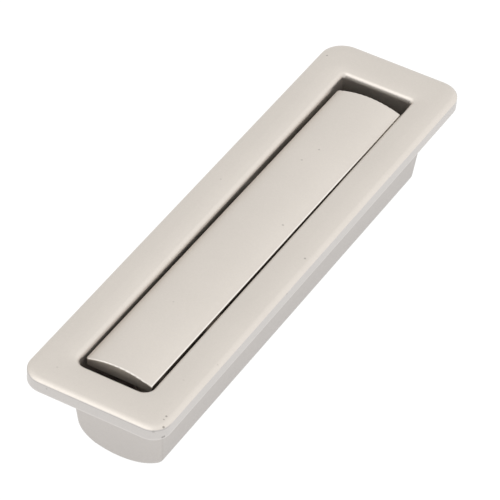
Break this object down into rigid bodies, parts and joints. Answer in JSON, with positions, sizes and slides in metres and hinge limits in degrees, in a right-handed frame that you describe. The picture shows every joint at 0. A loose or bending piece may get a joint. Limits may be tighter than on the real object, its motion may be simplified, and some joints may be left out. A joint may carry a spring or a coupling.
{
  "type": "recessed flush pull with a sprung push-in flap",
  "caption": "Rectangular recessed flush pull for a door or drawer: a soft-edged bezel over a deep trough, closed by a crowned flap that pushes in against springs for the fingertips.",
  "frame": {"origin": "centre of the bezel's seating plane, the underside of the bezel that lies on the door face", "axes": "+X along the pull, +Y across it from the flap's hinge to its free edge, +Z out of the door face"},
  "size_m": [0.13, 0.033, 0.0242],
  "materials": {
    "frame": "satin",
    "flap": "satin",
    "pin": "satin",
    "spring": "satin"
  },
  "bodies": {
    "frame_body": {"frame": "frame", "hinge_pin_near": "pin", "hinge_pin_far": "pin", "return_spring_near": "spring", "return_spring_far": "spring"},
    "flap_body": {"flap": "flap"}
  },
  "joints": [
    {"name": "flap_hinge", "type": "hinge", "parent": "frame_body", "child": "flap_body", "pos_m": [0, -0.0061, -0.0016], "axis": [-1, 0, 0], "range_deg": [0, 78], "stiffness_Nm_per_rad": 0.021, "springref_deg": -28.65, "deforming": ["return_spring_near", "return_spring_far"]}
  ]
}
